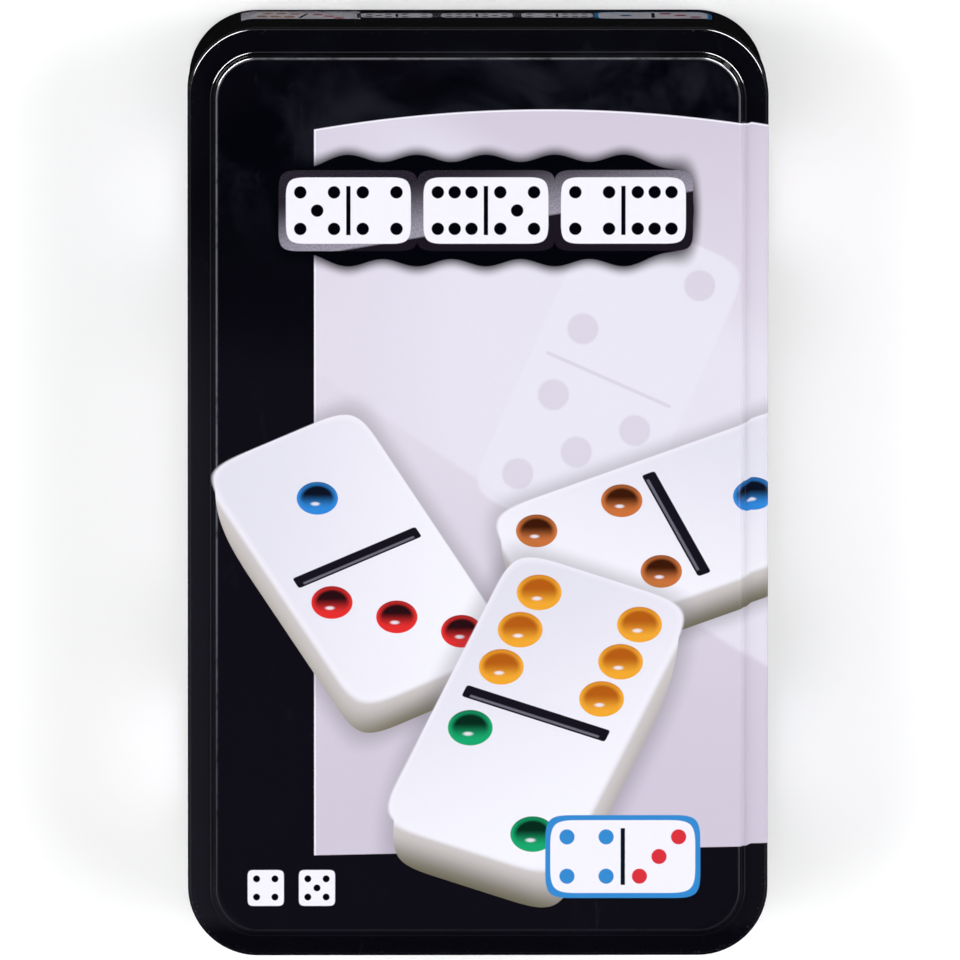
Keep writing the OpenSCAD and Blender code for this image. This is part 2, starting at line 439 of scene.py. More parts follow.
def flat_tile(g, col, x, y, at, angle, hl, hw, values, inks, face=WHITE_INK, edge=None):
    """A plain printed tile, seen square on."""
    a = math.radians(angle)
    c, s = math.cos(a), math.sin(a)
    u = g.lin(c, x, s, y, -c * at[0] - s * at[1])
    v = g.lin(-s, x, c, y, s * at[0] - c * at[1])
    d = g.box(u, v, hl, hw, 0.16 * hl)
    if edge:
        col = g.mix(g.inside(d - 0.07 * hl, 0.07), col, edge)
    lit = g.mix(g.inside(abs(u) - 0.03 * hl, 0.06) * g.inside(abs(v) - 0.78 * hw, 0.06), face, PIP_INK[1][1])
    for half, value, ink in zip((-1, 1), values, inks):
        lu = u - half * hl / 2
        for qx, qy in pip_places(g, value, lu, v, 0.27 * hl, 0.54 * hw):
            lit = g.mix(g.inside(g.length(qx, qy) - 0.105 * hl, 0.07), lit, ink)
    return g.mix(g.inside(d, 0.06), col, lit)


def tile_row(g, col, x, y, at, count, hl, hw, pitch, face=WHITE_INK, band=None):
    """A row of white tiles with dark pips, with fives, fours and sixes in turn, and a grey band round them."""
    cx = x - at[0]
    cy = y - at[1]
    half = (count - 1) / 2
    k = g.clamp(g.math("ROUND", cx / pitch), -half, half)
    u = g.math("MULTIPLY_ADD", k, -pitch, cx)
    d = g.box(u, cy, hl, hw, 0.15 * hl)
    if band:
        col = g.mix(g.inside(d - band[0], 0.07), col, band[1])
    lit = g.mix(g.inside(abs(u) - 0.035 * hl, 0.06) * g.inside(abs(cy) - 0.74 * hw, 0.06), face, INK)
    lu = abs(u) - hl / 2
    r = 0.10 * hl
    four = g.length(abs(lu) - 0.27 * hl, abs(cy) - 0.55 * hw)
    lit = g.mix(g.inside(four - r, 0.06), lit, INK)
    number = g.math("FLOOR", cx * (2 / pitch))
    fives = g.math("COMPARE", abs(number + 1.5), 1.5, 0.1)
    sixes = g.math("COMPARE", abs(number - 0.5), 1.5, 0.1)
    lit = g.mix(g.inside(g.length(lu, cy) - r, 0.06) * fives, lit, INK)
    lit = g.mix(g.inside(g.length(lu, abs(cy) - 0.55 * hw) - r, 0.06) * sixes, lit, INK)
    return g.mix(g.inside(d, 0.06), col, lit)


def lid_picture(g, p, x, y):
    """The lid's whole print. x and y are millimetres on the flat sheet, measured from the middle of the lid."""
    speck = g.noise(p, 2.2, 3.0, 0.6)
    ink = g.mix(g.step(g.noise(p, 0.03, 2.0), 0.35, 0.65), INK, INK_WARM)
    border = g.step(g.box(x, y, 55.4, 92.4, 10.0), -1.4, 0.4)
    # the border is blackest at the top, and painted a little grey lower down and on the left as a painted sheen
    greyed = g.step(y, 66.0, 8.0) * g.step(g.length(g.math("MAXIMUM", -84.0 - y, 0.0), 0.0), 8.5, 4.0)
    tone = g.mix(greyed, srgb("07070d"), g.mix(g.step(x, 50.0, -50.0), srgb("131118"), srgb("1b1a21")))
    ink = g.mix(border * 0.9, ink, tone)
    # painted sheen: the black panel inside the border is painted a little lighter from y = 42 downwards
    ink = g.mix(g.step(y, 42.0, 22.0) * g.math("MULTIPLY_ADD", border, -0.8, 0.8), ink, srgb("110f17"))
    haze = g.step(g.noise(p, 0.045, 3.0, 0.6, 0.8), 0.38, 0.72) * g.step(y, 40.0, 84.0)
    ink = g.mix(haze * g.math("MULTIPLY_ADD", border, -0.72, 0.8), ink, INK_HAZE)
    # painted reflection: a faint grey streak across the black, inside the lid's outline
    painted_reflection_streak = g.step(g.noise(g.scale(p, (0.55, 0.16, 0.1)), 0.35, 4.0, 0.7, 1.2), 0.60, 0.80)
    painted_reflection_streak = painted_reflection_streak * g.step(g.box(x, y, 60.0, 96.7, 14.5), 0.8, -0.2)
    ink = g.mix(painted_reflection_streak * 0.35, ink, srgb("26262f"))
    # pale field, lighter along a broad slanting band
    band = g.lin(0.55, x, 0.83, y)
    pale = g.mix(g.step(y, -70.0, 20.0) * g.step(y, 92.0, 30.0), PALE_DARK, PALE)
    pale = g.mix(g.step(band, 2.0, 3.4) * g.step(band, 66.0, 52.0) * g.math("MULTIPLY_ADD", g.step(x, -34.0, 4.0), 0.55, 0.2), pale, PALE_LIGHT)
    pale = g.mix(g.step(speck, 0.45, 0.75) * 0.10, pale, PALE_DARK)
    off = x - 14.0
    top = g.math("MULTIPLY_ADD", off * off, 0.0018, y - 80.2)
    bottom = g.lin(0.02, x, -1.0, y, -74.4)
    left = -33.9 - x
    field = g.math("MAXIMUM", g.math("MAXIMUM", top, bottom), left)
    pale = g.mix(g.inside(abs(g.math("MAXIMUM", top, left) + 0.22) - 0.16, 0.1), pale, WHITE_INK)
    col = g.mix(g.inside(field, 0.07), ink, pale)

    # a faint big tile in the background
    a = math.radians(-24)
    c, s = math.cos(a), math.sin(a)
    at = (27.0, 24.0)
    u = g.lin(-s, x, c, y, s * at[0] - c * at[1])
    v = g.lin(c, x, s, y, -c * at[0] - s * at[1])
    ghost = g.box(u, v, 33.0, 17.0, 4.0)
    gcol = PALE_LIGHT
    mark = g.inside(abs(u) - 0.35, 0.15) * g.inside(abs(v) - 14.0, 0.2)
    for half, value in ((-1, 5), (1, 2)):
        lu = u - half * 16.5
        for qx, qy in pip_places(g, value, lu, v, 9.0, 9.2):
            mark = g.math("MAXIMUM", mark, g.inside(g.length(qx, qy) - 3.2, 0.25))
    ghost_ink = g.mix(mark * 0.75, gcol, PALE_DARK)
    col = g.mix(g.inside(ghost, 0.3) * g.inside(field, 0.07) * 0.85, col, ghost_ink)

    # pictured tiles, from the back to the front
    col = pictured_tile(g, col, x, y, (41.0, -6.0), 24.0, 35.0, 18.0, 8.5, (4, 1))
    col = pictured_tile(g, col, x, y, (-25.0, -13.0), 118.0, 35.0, 18.0, 8.5, (3, 1))
    col = pictured_tile(g, col, x, y, (12.0, -45.5), 68.0, 38.0, 20.0, 10.0, (2, 6))

    # dark plate with a soft halo, and a row of plain tiles on it
    px, py = x - 1.6, y - 59.2
    plate = g.box(px, py, 43.0, 11.6, 6.5)
    wave = g.math("SINE", px * 0.2205)
    plate = g.math("MULTIPLY_ADD", wave * wave, 1.5, plate)
    col = g.mix(g.step(plate, 2.6, -0.4) * 0.9, col, INK)
    grain = g.step(speck, 0.30, 0.70)
    sheen = g.step(g.lin(0.16, px, -1.0, py), -9.0, 5.0)
    grey = g.mix(sheen, srgb("241f29"), srgb("a9a4b4"))
    grey = g.mix(grain * 0.35, grey, srgb("3a3540"))
    grey = g.mix(g.inside(g.lin(-0.17, px, 1.0, py, 3.2), 0.2), grey, srgb("1b161f"))
    col = g.mix(g.inside(plate, 0.08), col, INK)
    col = tile_row(g, col, px, py, (0.0, 0.0), 3, 12.9, 6.9, 28.4, band=(1.5, grey))

    # two small white squares with pips, and a small coloured tile
    sx = abs(x + 38.6) - 5.3
    sq = g.box(sx, y + 81.9, 3.75, 3.75, 0.7)
    lit = g.mix(g.inside(g.length(abs(sx) - 1.9, abs(y + 81.9) - 1.9) - 0.72, 0.06), WHITE_INK, INK)
    centre = g.inside(g.length(sx, y + 81.9) - 0.72, 0.06) * g.math("GREATER_THAN", x, -38.6)
    lit = g.mix(centre, lit, INK)
    col = g.mix(g.inside(sq, 0.06), col, lit)
    col = flat_tile(
        g, col, x, y, (30.0, -75.4), 0.0, 15.0, 7.6, (4, 3), (srgb("3489cf"), srgb("d8303c")), edge=srgb("3489cf")
    )
    return col


def gloss_tin(g, p, colour, worn=None):
    """Printed tinplate under a gloss varnish: slow waviness, fine orange peel, light scratches and rubbed places. worn is 1 where the varnish is rubbed dull."""
    wave = g.noise(p, 0.035, 2.0, 0.4)
    peel = g.noise(p, 1.1, 2.0, 0.5)
    rub = g.step(g.noise(p, 0.05, 4.0, 0.65, 0.6), 0.52, 0.72)
    hair = g.noise(g.scale(p, (0.9, 0.035, 0.2)), 1.6, 3.0, 0.7)
    hair2 = g.noise(g.scale(p, (0.05, 1.1, 0.2)), 1.3, 3.0, 0.7)
    scratch = g.math("MAXIMUM", g.step(hair, 0.70, 0.76), g.step(hair2, 0.72, 0.78))
    rough = g.math("MULTIPLY_ADD", rub, 0.05, g.math("MULTIPLY_ADD", scratch, 0.10, 0.08))
    if worn is not None:
        rough = g.math("MULTIPLY_ADD", worn, 0.25, rough)
    height = g.math("MULTIPLY_ADD", peel, 0.015, wave)
    height = g.math("MULTIPLY_ADD", scratch, -0.01, height)
    g.set(
        Base_Color=colour,
        Roughness=rough,
        IOR=1.5,
        Coat_Weight=0.6,
        Coat_Roughness=0.035,
        Coat_IOR=1.5,
        Normal=g.bump(height, 0.25, 0.35),
    )
    return g.mat


def tin_material(name, tint="c9c6c0", stretch=(0.02, 1.0, 0.3)):
    """Bare tinplate under a thin clear lacquer, with rolling lines and mottled tin crystals."""
    g = Graph(name)
    p = g.coords()
    lines = g.noise(g.scale(p, stretch), 3.2, 4.0, 0.65)
    mottle = g.noise(p, 0.10, 3.0, 0.55)
    grain = g.cells(p, 0.55, output="Color")
    dull = g.step(mottle, 0.35, 0.70)
    base = g.mix(g.step(lines, 0.30, 0.72), scaled(srgb(tint), 0.80), srgb(tint))
    base = g.mix(dull * 0.35, base, scaled(srgb(tint), 0.70))
    base = g.mix(0.05, base, grain)
    rough = g.math("MULTIPLY_ADD", dull, 0.14, g.math("MULTIPLY_ADD", lines, 0.16, 0.22))
    g.set(Base_Color=base, Metallic=0.72, Roughness=rough, Coat_Weight=0.25, Coat_Roughness=0.12)
    g.set(Normal=g.bump(g.math("MULTIPLY_ADD", mottle, 4.0, lines), 0.25, 0.06))
    return g.mat


def lid_material():
    g = Graph("lid_print")
    p = g.coords()
    x, y, _ = g.split(g.uv("Print"))
    col = lid_picture(g, p, x, y)
    # rubbed line along the panel's ridge, lighter as rubbed wear and also as a painted highlight along the ridge, and
    # scuffs along the lid's edge, mostly at the corners
    _, across, _ = g.split(g.uv("Wear"))
    patchy = g.noise(p, 0.25, 3.0, 0.6)
    ridge = g.inside(abs(across - 0.28) - 0.16, 0.16) * g.step(patchy, 0.15, 0.55) * g.step(y, -110.0, 10.0)
    corner = g.step(g.length(g.math("MINIMUM", abs(x) - 62.0, 0.0), g.math("MINIMUM", abs(y) - 99.0, 0.0)), 26.0, 8.0)
    chips = g.step(g.noise(p, 2.1, 4.0, 0.7), 0.60, 0.68)
    edge = g.step(abs(across - 6.7), 1.7, 0.5) * chips * g.math("MULTIPLY_ADD", corner, 0.75, 0.25)
    # the ridge's lighter grey is rubbed wear and partly a painted highlight
    col = g.lighten(ridge * 0.75, col, srgb("64646e"))
    col = g.lighten(edge * 0.5, col, srgb("5c5b66"))
    return gloss_tin(g, p, col, g.math("MAXIMUM", ridge, edge))


def wall_material(name, length):
    """The side wall's print. x runs along the side from its middle, and y is the height."""
    g = Graph(name)
    p = g.coords()
    x, y, _ = g.split(g.uv("Print"))
    ink = g.mix(g.step(g.noise(p, 0.03, 2.0), 0.35, 0.65), INK, INK_WARM)
    col = ink
    far = 36.5 if length < 120 else 58.0
    mark = (srgb("d8303c"), srgb("e08a1e"))
    left = g.box(x + far, y - 12.2, 12.4, 8.6, 1.0)
    col = g.mix(g.inside(left, 0.08), col, g.mix(g.step(y, 4.0, 18.0), PALE_DARK, PALE_LIGHT))
    col = flat_tile(g, col, x, y, (-far + 0.6, 12.0), 12.0, 10.6, 5.4, (6, 3), (mark[1], mark[0]), face=WHITE_INK)
    col = tile_row(g, col, x, y, (0.0, 11.6), 3, 7.4, 4.1, 16.6, band=(0.9, srgb("5d5866")))
    col = flat_tile(
        g, col, x, y, (far, 12.0), 0.0, 11.4, 6.0, (1, 3), (srgb("3489cf"), mark[0]), edge=srgb("3489cf")
    )
    return gloss_tin(g, p, col)


# ---------------------------------------------------------------- lid

W, L, CORNER = 120.0, 193.4, 14.5
CX, CY = W / 2 - CORNER, L / 2 - CORNER
BORDER_Z, SKIRT, EDGE_R, BORDER_W, RAISE = 38.0, 17.0, 0.8, 4.6, 1.5
RIM_Z = BORDER_Z - SKIRT
SHEET, CURL = 0.3, 0.8


def make_lid():
    ring = box_ring(CX, CY, 28, 9.0)
    e, sx = RAISE / 2, CORNER - BORDER_W
    # the step is an S of two arcs, the ridge's rounder than the hollow's
    ridge, hollow = 1.10, 0.78
    lean = math.degrees(math.acos(1 - RAISE / (ridge + hollow)))
    width = (ridge + hollow) * math.sin(math.radians(lean))
    start, end = sx - e - width / 2, sx - e + width / 2
    outer = [(start - 1.2, BORDER_Z + RAISE, 0, 1)]
    outer += arc(start, BORDER_Z + RAISE - ridge, ridge, 90, 90 - lean, 11)
    outer += arc(end, BORDER_Z + hollow, hollow, 270 - lean, 270, 9, inward=True)
    outer += [(r, BORDER_Z, 0, 1) for r in (11.0, 12.4)]
    outer += arc(CORNER - EDGE_R, BORDER_Z - EDGE_R, EDGE_R, 90, 0, 12)
    outer += [(CORNER, z, 1, 0) for z in (32.0, 27.5, 24.0)]
    curl = (CORNER - CURL, RIM_Z + CURL)
    outer += arc(*curl, CURL, 0, -270, 27)
    inner = arc(*curl, CURL - SHEET, -270, 0, 18, inward=True)
    inner += [(CORNER - SHEET, z, -1, 0) for z in (24.0, 30.0)]
    inner += arc(CORNER - EDGE_R, BORDER_Z - EDGE_R, EDGE_R - SHEET, 0, 90, 8, inward=True)
    inner += arc(end, BORDER_Z + hollow, hollow + SHEET, 270, 270 - lean, 8)
    inner += arc(start, BORDER_Z + RAISE - ridge, ridge - SHEET, 90 - lean, 90, 8, inward=True)
    inner += [(start - 1.2, BORDER_Z + RAISE - SHEET, 0, -1)]
    outer, inner = tidy(outer), tidy(inner)
    profile = outer + inner
    count = len(outer)

    # how far each profile point lies from the corners' centre line on the flat sheet
    flat, run = [], 0.0
    for j, q in enumerate(profile):
        if j and (q[0] > CORNER - EDGE_R + 1e-6 or run):
            before = profile[j - 1]
            run += math.hypot(q[0] - before[0], q[1] - before[1])
            flat.append(CORNER - EDGE_R + run)
        else:
            flat.append(q[0])
    back = flat[:count] + [flat[-1] + q0 for q0 in [0] * len(inner)]
    run = 0.0
    for j in range(len(profile) - 1, count - 1, -1):  # the inside, measured from its own middle
        q = profile[j]
        if j < len(profile) - 1 and (q[0] > CORNER - EDGE_R + 1e-6 or run):
            after = profile[j + 1]
            run += math.hypot(q[0] - after[0], q[1] - after[1])
            back[j] = CORNER - EDGE_R + run
        else:
            back[j] = q[0]

    # the raised panel was pressed a little off the middle
    def shift(j):
        near = profile[j][0] <= end + 1e-6 and profile[j][1] > BORDER_Z - SHEET - 0.01
        return (0.0, -0.43) if near else (0.0, 0.0)

    reach = flat[count - 1]
    tall = 2 * (CY + reach) + 2.0
    inner_tall = 2 * (CY + back[count]) + 2.0
    inner_k = 0.30 * tall / (2 * (CX + back[count]) + 2.0)

    def bake_uv(x, y, inside):
        if not inside:
            return (0.001 + (x + CX + reach + 1) / tall * 0.998, 0.001 + (y + tall / 2) / tall * 0.998)
        return (
            0.695 + (x + CX + back[count] + 1) / tall * inner_k * 0.998,
            0.01 + (y + inner_tall / 2) / tall * inner_k * 0.998,
        )

    # along the sheet from the ridge outwards, for the wear
    worn = [0.0]
    for p, q in zip(profile, profile[1:]):
        worn.append(worn[-1] + math.hypot(q[0] - p[0], q[1] - p[1]))
    worn = [w - 1.2 if j < count else 90.0 for j, w in enumerate(worn)]

    def corner_uv(x, y, inside, wear=90.0):
        return ((x, y), bake_uv(x, y, inside), (0.0, wear))

    def uv(j, i, step):
        c = ring[(i + step) % len(ring)]
        r = back[j]
        return corner_uv(c[0] + r * c[2], c[1] + r * c[3], j >= count, worn[j])

    m = Mesh()
    rows = m.sweep(
        ring,
        profile,
        material=lambda j, i: 0 if j < count - 19 else 1,
        uv=uv,
        shift=shift,
    )
    # at one place on the drawn corner the step's normals lean as if it were a little flatter there; the points keep
    # their shape
    for j in range(count):
        nr, nz = profile[j][2:]
        if nr < 0.3 or profile[j][0] > end:
            continue
        for i, c in enumerate(ring):
            near = 1 - abs(math.degrees(math.atan2(c[3], c[2])) - 50) / 11
            if near > 0:
                a = math.atan2(nr, nz)
                k = min(1.0, 2.2 * near)
                a += k * (math.radians(28) - a)
                m.n[rows[j] + i] = (math.sin(a) * c[2], math.sin(a) * c[3], math.cos(a))
    # the strip that joins the outer row to the inner one takes the inner map throughout
    n = len(ring)
    for i in range(n):
        f = (count - 1) * n + i
        c0, c1 = ring[i], ring[(i + 1) % n]
        r0, r1 = back[count] + 0.8, back[count]
        pts = [(c0, r0), (c1, r0), (c1, r1), (c0, r1)]
        m.uv[f] = [corner_uv(c[0] + r * c[2], c[1] + r * c[3], True) for c, r in pts]
    top = [rows[0] + i for i in range(n)]
    low = [rows[-1] + i for i in range(n)]
    ox, oy = shift(0)
    m.face(top, 0, [corner_uv(m.v[k][0] - ox, m.v[k][1] - oy, False, -1.2) for k in top])
    m.face(low[::-1], 1, [corner_uv(m.v[k][0] - ox, m.v[k][1] - oy, True) for k in low[::-1]])
    return m.build(
        "lid_shell",
        [lid_material(), tin_material("lid_inside_tin")],
        "lid",
        "lid",
        layers=("Print", "OFBake", "Wear"),
    )


# ---------------------------------------------------------------- body wall


def make_wall():
    ring = box_ring(CX, CY, 24, 9.0)
    wall, neck, s, top = 14.1, 12.65, 0.725, 37.6
    sh = 20.05
    outer = [(12.1, 1.0, -1, 0)]
    outer += arc(12.8, 0.7, 0.7, 180, 270, 6)
    outer += arc(13.4, 0.7, 0.7, 270, 360, 6)
    outer += [(wall, z, 1, 0) for z in (5.0, 10.0, 15.0)]
    outer += arc(wall - s, sh, s, 0, 90, 8)
    first_bare = len(tidy(outer)) - 1
    outer += arc(neck + s, sh + 2 * s, s, 270, 180, 8, inward=True)
    outer += [(neck, z, 1, 0) for z in (26.0, 31.0)]
    outer += arc(neck - 0.7, top - 0.7, 0.7, 0, 270, 24)
    inner = arc(neck - 0.7, top - 0.7, 0.4, 270, 0, 16, inward=True)
    inner += [(neck - SHEET, z, -1, 0) for z in (31.0, 26.0)]
    inner += arc(neck + s, sh + 2 * s, s + SHEET, 180, 270, 6)
    inner += arc(wall - s, sh, s - SHEET, 90, 0, 6, inward=True)
    inner += [(wall - SHEET, z, -1, 0) for z in (15.0, 10.0, 5.0)]
    inner += arc(13.4, 0.7, 0.4, 0, -90, 5, inward=True)
    inner += arc(12.8, 0.7, 0.4, 270, 180, 5, inward=True)
    inner += [(12.4, 1.0, 1, 0)]
    outer, inner = tidy(outer), tidy(inner)
    profile = outer + inner
    count = len(outer)

    # along each side from its middle, for the print
    def along(c):
        a = math.degrees(math.atan2(c[3], c[2])) % 360
        side = int(((a + 45) % 360) // 90)  # 0 is +X, 1 is +Y, 2 is -X, 3 is -Y
        mid = side * 90
        turn = math.radians((a - mid + 180) % 360 - 180)
        t = ((c[1], -c[0], -c[1], c[0])[side]) + wall * turn
        return side, -t if side in (1, 3, 0, 2) else t

    place = [along(c) for c in ring]

    def side_of(i):
        a, b = place[i], place[(i + 1) % len(ring)]
        return a[0], b[0]

    def arc_z(j):
        return profile[j][1]

    def uv(j, i, step):
        a, b = place[i], place[(i + 1) % len(ring)]
        u = (a, b)[step][1]
        if a[0] != b[0]:  # the face that crosses a corner's middle is plain, so any place past the motifs will do
            u = 90.0
        return ((u, arc_z(j)),)

    def material(j, i):
        if first_bare <= j or j < 1:
            return 2
        return 0 if place[i][0] in (1, 3) else 1

    m = Mesh()
    rows = m.sweep(ring, profile, material=material, uv=uv)
    n = len(ring)
    for i in range(n):  # closes the foot's inner edge
        k = (i + 1) % n
        m.face((rows[-1] + i, rows[-1] + k, rows[0] + k, rows[0] + i), 2, [((90.0, 1.0),)] * 4)
    # the other end of the strip, lapped inside the wall at the seam
    y0, y1 = -(L / 2 - 0.4 - SHEET) - 0.05, -(L / 2 - 0.4 - SHEET) + 0.3
    lap = m.add(
        [(x, y, z) for z in (2.2, 20.25) for x, y in ((-3, y0), (3, y0), (3, y1 - 0.05), (2.8, y1), (-2.8, y1), (-3, y1 - 0.05))],
        [q for _ in (0, 1) for q in ((-1, -1, 0), (1, -1, 0), (1, 0.3, 0), (0.2, 1, 0), (-0.2, 1, 0), (-1, 0.3, 0))],
    )
    for i in range(6):
        k = (i + 1) % 6
        m.face((lap + i, lap + k, lap + 6 + k, lap + 6 + i), 2, [((90.0, 1.0),)] * 4)
    m.face([lap + i for i in range(5, -1, -1)], 2, [((90.0, 1.0),)] * 6)
    m.face([lap + 6 + i for i in range(6)], 2, [((90.0, 1.0),)] * 6)
    return m.build(
        "body_shell",
        [
            wall_material("wall_print_short", 2 * CX),
            wall_material("wall_print_long", 2 * CY),
            tin_material("body_bare_tin", stretch=(0.35, 0.35, 0.02)),
        ],
        "box",
        "body_wall",
        layers=("Print",),
    )


# ---------------------------------------------------------------- tiles

WELL_X, PITCH, WELL_FLOOR = 28.4, 25.2, 12.3
TILE = (50.0, 25.0, 12.0)


def half_pips(n):
    return {
        0: [],
        1: [(0, 0)],
        2: [(-1, -1), (1, 1)],
        3: [(-1, -1), (0, 0), (1, 1)],
        4: [(-1, -1), (1, -1), (-1, 1), (1, 1)],
        5: [(-1, -1), (1, -1), (0, 0), (-1, 1), (1, 1)],
        6: [(-1, -1), (0, -1), (1, -1), (-1, 1), (0, 1), (1, 1)],
    }[n]


def dimple_profile():
    """(radius, height, normal out, normal up) from the flat face to the bottom of a pip."""
    def depth(r):
        return -(math.sqrt(4.5**2 - r * r) - 3.6)

    pts = [(2.86, 0.0), (2.79, -0.009), (2.71, -0.034), (2.61, depth(2.61))]
    pts += [(r, depth(r)) for r in (2.35, 2.0, 1.6, 1.15, 0.7, 0.3)]
    out = []
    for r, z in pts:
        if r > 2.85:
            n = (0.0, 1.0)
        elif r > 2.62:
            f = (2.86 - r) / 0.25
            a = math.asin(2.61 / 4.5) * f
            n = (-math.sin(a), math.cos(a))
        else:
            n = (-r / 4.5, math.sqrt(1 - (r / 4.5) ** 2))
        out.append((r, z, *n))
    return out


def make_tile(a, b, materials):
    number = 7 * a - a * (a - 1) // 2 + (b - a)
    place = (number * 11 + 8) % 28
    q = place % 14
    x0 = WELL_X * (-1 if q % 2 == 0 else 1)
    y0 = (q // 2 - 3) * PITCH
    z0 = WELL_FLOOR + 0.1 + (0 if place < 14 else TILE[2] + 0.1)
    flip = -1 if (number // 2) % 2 else 1
    hl, hw, t, cr, er = TILE[0] / 2, TILE[1] / 2, TILE[2], 3.0, 1.3
    m = Mesh()
    ring = box_ring(hl - cr, hw - cr, 8, 11.0)
    profile = tidy(
        arc(cr - er, er, er, -90, 0, 5) + [(cr, t / 2, 1, 0)] + arc(cr - er, t - er, er, 0, 90, 5)
    )
    rows = m.sweep(ring, profile)
    n = len(ring)
    m.face([rows[0] + i for i in range(n)][::-1])
    # the top face has a hole for each pip and for the bar
    loops = [[rows[-1] + i for i in range(n)]]
    centres = [
        (h * 12.5 + px * 6.8, py * 7.2, v)
        for h, v in ((-1, a), (1, b))
        for px, py in half_pips(v)
    ]
    bar_ring = np.array(
        [(0, 9.1 * s, math.cos(w), math.sin(w)) for s, lo in ((1, 0), (-1, math.pi)) for w in [lo + math.pi * i / 8 for i in range(9)]]
    )
    bar = [(1.02, 0, 0, 1), (0.95, -0.012, -0.35, 0.94), (0.89, -0.06, -0.85, 0.5), (0.86, -0.3, -1, 0.1), (0.78, -0.47, -0.8, 0.6), (0.62, -0.57, -0.4, 0.9), (0.42, -0.6, 0, 1)]
    start = len(m.v)
    bar_rows = m.sweep(bar_ring, [(r, t + z, nr, nz) for r, z, nr, nz in bar], material=lambda j, i: 7 if j >= 2 else 0)
    nb = len(bar_ring)
    m.face([bar_rows[-1] + i for i in range(nb)], 7)
    loops.append([start + i for i in range(nb)])
    dimple = dimple_profile()
    for cx, cy, value in centres:
        parts = 28
        pip_ring = np.array([(cx, cy, math.cos(2 * math.pi * i / parts), math.sin(2 * math.pi * i / parts)) for i in range(parts)])
        r = m.sweep(pip_ring, [(p, t + z, nr, nz) for p, z, nr, nz in dimple], material=lambda j, i: value if j >= 2 else 0)
        tip = m.add([(cx, cy, t - 0.9)], [(0, 0, 1)])
        for i in range(parts):
            m.face((r[-1] + i, r[-1] + (i + 1) % parts, tip), value)
        loops.append([r[0] + i for i in range(parts)])
    # outward rings wind one way; the sweeps inside the holes go down, so their quads are turned over below
    ids = [k for loop in loops for k in loop]
    index = {k: i for i, k in enumerate(ids)}
    edges = [(index[loop[i]], index[loop[(i + 1) % len(loop)]]) for loop in loops for i in range(len(loop))]
    pts = [Vector(m.v[k][:2]) for k in ids]
    out = delaunay_2d_cdt(pts, edges, [], 0, 1e-6)
    for tri in out[2]:
        orig = [out[3][k][0] for k in tri]
        c = sum((pts[k] for k in orig), Vector((0, 0))) / 3
        if any(math.hypot(c.x - cx, c.y - cy) < 2.84 for cx, cy, _ in centres):
            continue
        if math.hypot(c.x, max(0.0, abs(c.y) - 9.1)) < 1.0:
            continue
        tri3 = [ids[k] for k in orig]
        p, q2, r3 = (Vector(m.v[k]) for k in tri3)
        if (q2 - p).cross(r3 - p).z < 0:
            tri3.reverse()
        m.face(tri3)
    # into place
    v = np.array(m.v)
    nn = np.array(m.n, float)
    m.v = [tuple(p) for p in np.stack([x0 + flip * v[:, 0], y0 + flip * v[:, 1], z0 + v[:, 2]], 1)]
    m.n = [tuple(p) for p in np.stack([flip * nn[:, 0], flip * nn[:, 1], nn[:, 2]], 1)]
    return m.build(
        f"domino_{a}_{b}",
        materials,
        "lower_tiles" if place < 14 else "upper_tiles",
        f"tile_{a}_{b}",
    )


def tile_materials():
    g = Graph("tile_white")
    p = g.coords()
    cloud = g.noise(p, 0.06, 3.0, 0.5)
    fine = g.noise(p, 0.9, 3.0, 0.6)
    base = g.mix(g.step(cloud, 0.3, 0.7), srgb("eeedf4"), srgb("e6e4ec"))
    base = g.mix(g.step(fine, 0.55, 0.8) * 0.12, base, srgb("d5d0cf"))
    hair = g.noise(g.scale(p, (0.6, 0.05, 0.3)), 1.9, 3.0, 0.7)
    scratch = g.step(hair, 0.68, 0.75)
    rough = g.math("MULTIPLY_ADD", scratch, 0.14, g.math("MULTIPLY_ADD", fine, 0.08, 0.17))
    g.set(
        Base_Color=base,
        Roughness=rough,
        IOR=1.5,
        Coat_Weight=0.3,
        Coat_Roughness=0.08,
        Subsurface_Weight=0.12,
        Subsurface_Radius=(0.002, 0.002, 0.0018),
        Subsurface_Scale=0.5,
        Normal=g.bump(g.math("MULTIPLY_ADD", scratch, -0.15, g.math("MULTIPLY_ADD", fine, 0.3, cloud)), 0.2, 0.12),
    )
    mats = [g.mat]
    paint = {1: "2273bd", 2: "128a58", 3: "c81f27", 4: "8a4a22", 5: "3c3a8f", 6: "e0911c"}
    for k in range(1, 7):
        g = Graph(f"pip_paint_{k}")
        p = g.coords()
        pool = g.noise(p, 0.5, 2.0, 0.5)
        fleck = g.noise(p, 4.0, 2.0, 0.6)
        base = g.mix(g.step(pool, 0.3, 0.7), scaled(srgb(paint[k]), 0.78), srgb(paint[k]))
        base = g.mix(g.step(fleck, 0.62, 0.8) * 0.25, base, scaled(srgb(paint[k]), 1.5))
        g.set(
            Base_Color=base,
            Roughness=g.math("MULTIPLY_ADD", pool, 0.12, 0.10),
            Coat_Weight=0.8,
            Coat_Roughness=0.03,
            Normal=g.bump(pool, 0.3, 0.10),
        )
        mats.append(g.mat)
    g = Graph("bar_paint")
    p = g.coords()
    pool = g.noise(p, 0.4, 3.0, 0.5)
    g.set(
        Base_Color=g.mix(pool, srgb("0f0d12"), srgb("1c1922")),
        Roughness=g.math("MULTIPLY_ADD", pool, 0.2, 0.15),
        Coat_Weight=0.5,
        Coat_Roughness=0.06,
        Normal=g.bump(pool, 0.3, 0.12),
    )
    mats.append(g.mat)
    return mats


# ---------------------------------------------------------------- tray, leaflet, bottom


